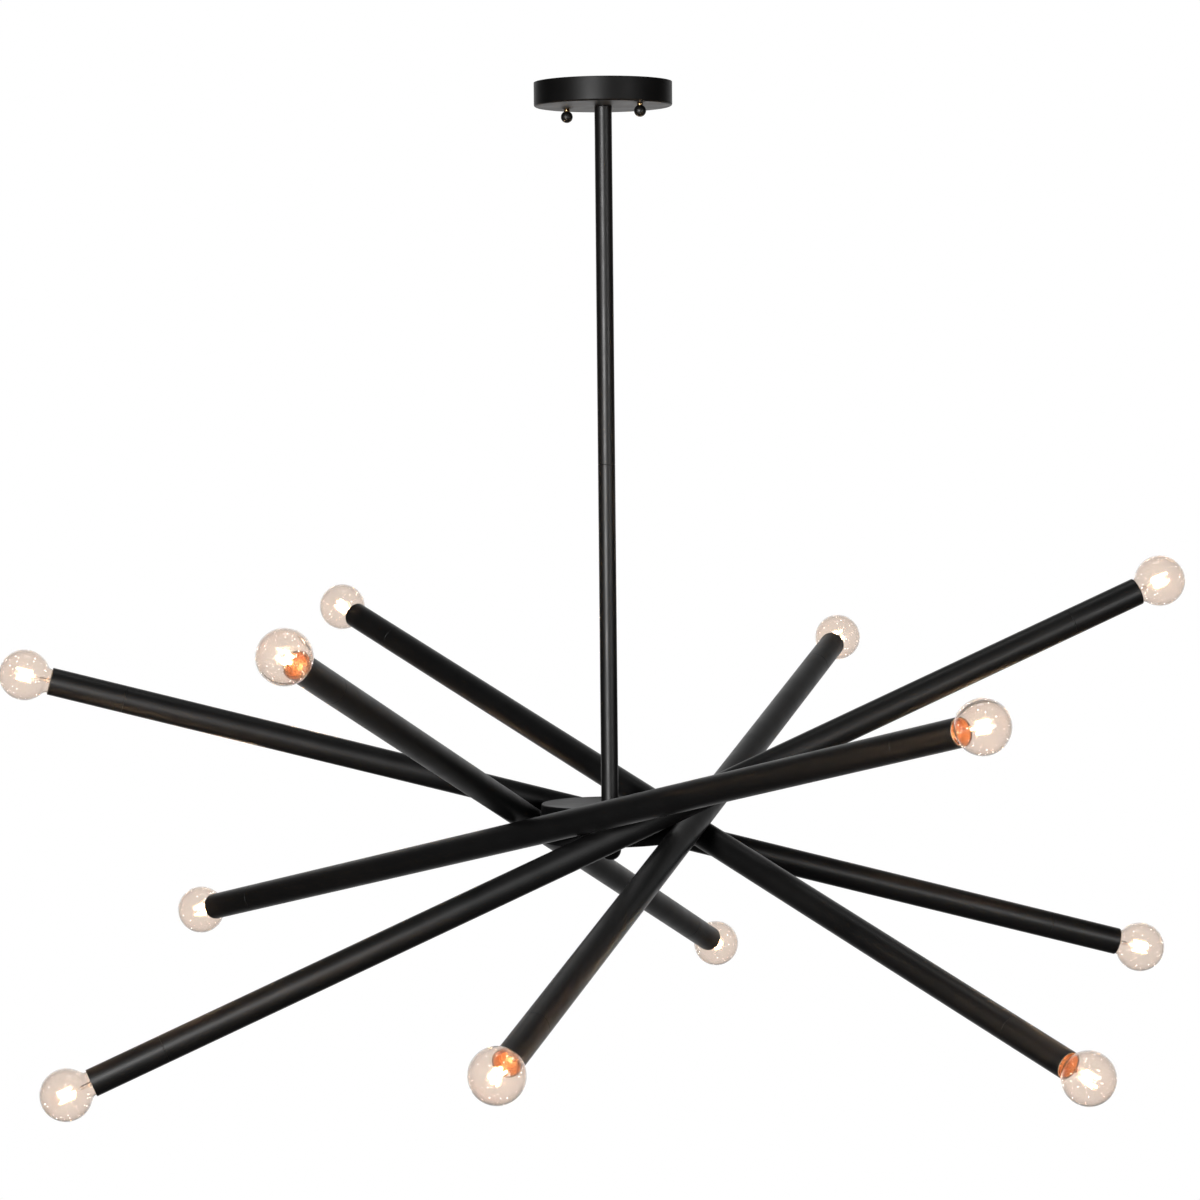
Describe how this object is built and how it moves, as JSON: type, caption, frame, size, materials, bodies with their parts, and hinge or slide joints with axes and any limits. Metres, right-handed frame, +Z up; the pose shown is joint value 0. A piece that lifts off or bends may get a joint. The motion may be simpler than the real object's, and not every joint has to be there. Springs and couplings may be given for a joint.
{
  "type": "ceiling light",
  "caption": "Black ceiling light: straight tube arms crossed round a hub drum on a rod stem below a round canopy, each tilting on its own pivot and ending in clear globe bulbs.",
  "frame": {"origin": "on the ceiling, at the middle of the crossbar's top face, on the stem's axis", "axes": "+Z up into the ceiling, +X along the crossbar through its slots and studs"},
  "size_m": [1.1161, 1.0838, 0.9224],
  "materials": {
    "black_coat": "satin powder coat",
    "brass": "turned",
    "zinc_plate": "zinc plated",
    "lampholder_moulding": "moulded",
    "bulb_glass": "clear"
  },
  "bodies": {
    "hanger": {"ceiling_crossbar": "zinc_plate", "crossbar_studs": "brass", "canopy": "black_coat", "canopy_ball_nuts": "black_coat", "stem_nipples": "brass", "stem_lock_nuts": "zinc_plate", "upper_rod": "black_coat", "lower_rod": "black_coat", "hub_nipple": "brass", "hub_drum": "black_coat", "hub_cover": "black_coat", "hub_finial": "black_coat"},
    "arm_1": {"arm_1_tube": "black_coat", "arm_1_end_sleeves": "black_coat", "arm_1_lampholders": "lampholder_moulding", "arm_1_pivot_saddle": "black_coat", "arm_1_pivot_nipple": "brass", "arm_1_lock_nut": "zinc_plate"},
    "arm_1_upper_bulb": {"arm_1_upper_bulb": "bulb_glass"},
    "arm_1_lower_bulb": {"arm_1_lower_bulb": "bulb_glass"},
    "arm_2": {"arm_2_tube": "black_coat", "arm_2_end_sleeves": "black_coat", "arm_2_lampholders": "lampholder_moulding", "arm_2_pivot_saddle": "black_coat", "arm_2_pivot_nipple": "brass", "arm_2_lock_nut": "zinc_plate"},
    "arm_2_upper_bulb": {"arm_2_upper_bulb": "bulb_glass"},
    "arm_2_lower_bulb": {"arm_2_lower_bulb": "bulb_glass"},
    "arm_3": {"arm_3_tube": "black_coat", "arm_3_end_sleeves": "black_coat", "arm_3_lampholders": "lampholder_moulding", "arm_3_pivot_saddle": "black_coat", "arm_3_pivot_nipple": "brass", "arm_3_lock_nut": "zinc_plate"},
    "arm_3_upper_bulb": {"arm_3_upper_bulb": "bulb_glass"},
    "arm_3_lower_bulb": {"arm_3_lower_bulb": "bulb_glass"},
    "arm_4": {"arm_4_tube": "black_coat", "arm_4_end_sleeves": "black_coat", "arm_4_lampholders": "lampholder_moulding", "arm_4_pivot_saddle": "black_coat", "arm_4_pivot_nipple": "brass", "arm_4_lock_nut": "zinc_plate"},
    "arm_4_upper_bulb": {"arm_4_upper_bulb": "bulb_glass"},
    "arm_4_lower_bulb": {"arm_4_lower_bulb": "bulb_glass"},
    "arm_5": {"arm_5_tube": "black_coat", "arm_5_end_sleeves": "black_coat", "arm_5_lampholders": "lampholder_moulding", "arm_5_pivot_saddle": "black_coat", "arm_5_pivot_nipple": "brass", "arm_5_lock_nut": "zinc_plate"},
    "arm_5_upper_bulb": {"arm_5_upper_bulb": "bulb_glass"},
    "arm_5_lower_bulb": {"arm_5_lower_bulb": "bulb_glass"},
    "arm_6": {"arm_6_tube": "black_coat", "arm_6_end_sleeves": "black_coat", "arm_6_lampholders": "lampholder_moulding", "arm_6_pivot_saddle": "black_coat", "arm_6_pivot_nipple": "brass", "arm_6_lock_nut": "zinc_plate"},
    "arm_6_upper_bulb": {"arm_6_upper_bulb": "bulb_glass"},
    "arm_6_lower_bulb": {"arm_6_lower_bulb": "bulb_glass"}
  },
  "joints": [
    {"name": "arm_1_tilt", "type": "hinge", "parent": "hanger", "child": "arm_1", "pos_m": [0.07298, 0.03053, -0.681], "axis": [0.9225, 0.3859, 0], "range_deg": [0, 50]},
    {"name": "arm_1_upper_bulb_unscrew", "type": "hinge", "parent": "arm_1", "child": "arm_1_upper_bulb", "pos_m": [-0.13221, 0.52107, -0.53653], "axis": [-0.3724, 0.8903, 0.2622], "range_deg": [0, 1260]},
    {"name": "arm_1_lower_bulb_unscrew", "type": "hinge", "parent": "arm_1", "child": "arm_1_lower_bulb", "pos_m": [0.27818, -0.46001, -0.82547], "axis": [0.3724, -0.8903, -0.2622], "range_deg": [0, 1260]},
    {"name": "arm_2_tilt", "type": "hinge", "parent": "hanger", "child": "arm_2", "pos_m": [0.01197, 0.0782, -0.681], "axis": [0.1513, 0.9885, 0], "range_deg": [0, 50]},
    {"name": "arm_2_upper_bulb_unscrew", "type": "hinge", "parent": "arm_2", "child": "arm_2_upper_bulb", "pos_m": [-0.50177, 0.15681, -0.49798], "axis": [-0.9324, 0.1427, 0.3322], "range_deg": [0, 1260]},
    {"name": "arm_2_lower_bulb_unscrew", "type": "hinge", "parent": "arm_2", "child": "arm_2_lower_bulb", "pos_m": [0.5257, -0.00041, -0.86402], "axis": [0.9324, -0.1427, -0.3322], "range_deg": [0, 1260]},
    {"name": "arm_3_tilt", "type": "hinge", "parent": "hanger", "child": "arm_3", "pos_m": [-0.06078, 0.05064, -0.681], "axis": [-0.7683, 0.6401, 0], "range_deg": [0, 50]},
    {"name": "arm_3_upper_bulb_unscrew", "type": "hinge", "parent": "arm_3", "child": "arm_3_upper_bulb", "pos_m": [-0.40146, -0.35826, -0.53839], "axis": [-0.6183, -0.7421, 0.2588], "range_deg": [0, 1260]},
    {"name": "arm_3_lower_bulb_unscrew", "type": "hinge", "parent": "arm_3", "child": "arm_3_lower_bulb", "pos_m": [0.2799, 0.45954, -0.82361], "axis": [0.6183, 0.7421, -0.2588], "range_deg": [0, 1260]},
    {"name": "arm_4_tilt", "type": "hinge", "parent": "hanger", "child": "arm_4", "pos_m": [-0.07434, -0.02706, -0.681], "axis": [-0.9397, -0.342, 0], "range_deg": [0, 50]},
    {"name": "arm_4_upper_bulb_unscrew", "type": "hinge", "parent": "arm_4", "child": "arm_4_upper_bulb", "pos_m": [0.10352, -0.51573, -0.49889], "axis": [0.3228, -0.8869, 0.3305], "range_deg": [0, 1260]},
    {"name": "arm_4_lower_bulb_unscrew", "type": "hinge", "parent": "arm_4", "child": "arm_4_lower_bulb", "pos_m": [-0.2522, 0.46161, -0.86311], "axis": [-0.3228, 0.8869, -0.3305], "range_deg": [0, 1260]},
    {"name": "arm_5_tilt", "type": "hinge", "parent": "hanger", "child": "arm_5", "pos_m": [-0.01005, -0.07847, -0.681], "axis": [-0.1271, -0.9919, 0], "range_deg": [0, 50]},
    {"name": "arm_5_upper_bulb_unscrew", "type": "hinge", "parent": "arm_5", "child": "arm_5_upper_bulb", "pos_m": [0.52332, -0.1468, -0.5608], "axis": [0.968, -0.124, 0.2181], "range_deg": [0, 1260]},
    {"name": "arm_5_lower_bulb_unscrew", "type": "hinge", "parent": "arm_5", "child": "arm_5_lower_bulb", "pos_m": [-0.54342, -0.01014, -0.8012], "axis": [-0.968, 0.124, -0.2181], "range_deg": [0, 1260]},
    {"name": "arm_6_tilt", "type": "hinge", "parent": "hanger", "child": "arm_6", "pos_m": [0.06243, -0.0486, -0.681], "axis": [0.7891, -0.6143, 0], "range_deg": [0, 50]},
    {"name": "arm_6_upper_bulb_unscrew", "type": "hinge", "parent": "arm_6", "child": "arm_6_upper_bulb", "pos_m": [0.37329, 0.35073, -0.46305], "axis": [0.5642, 0.7247, 0.3955], "range_deg": [0, 1260]},
    {"name": "arm_6_lower_bulb_unscrew", "type": "hinge", "parent": "arm_6", "child": "arm_6_lower_bulb", "pos_m": [-0.24844, -0.44792, -0.89895], "axis": [-0.5642, -0.7247, -0.3955], "range_deg": [0, 1260]}
  ]
}
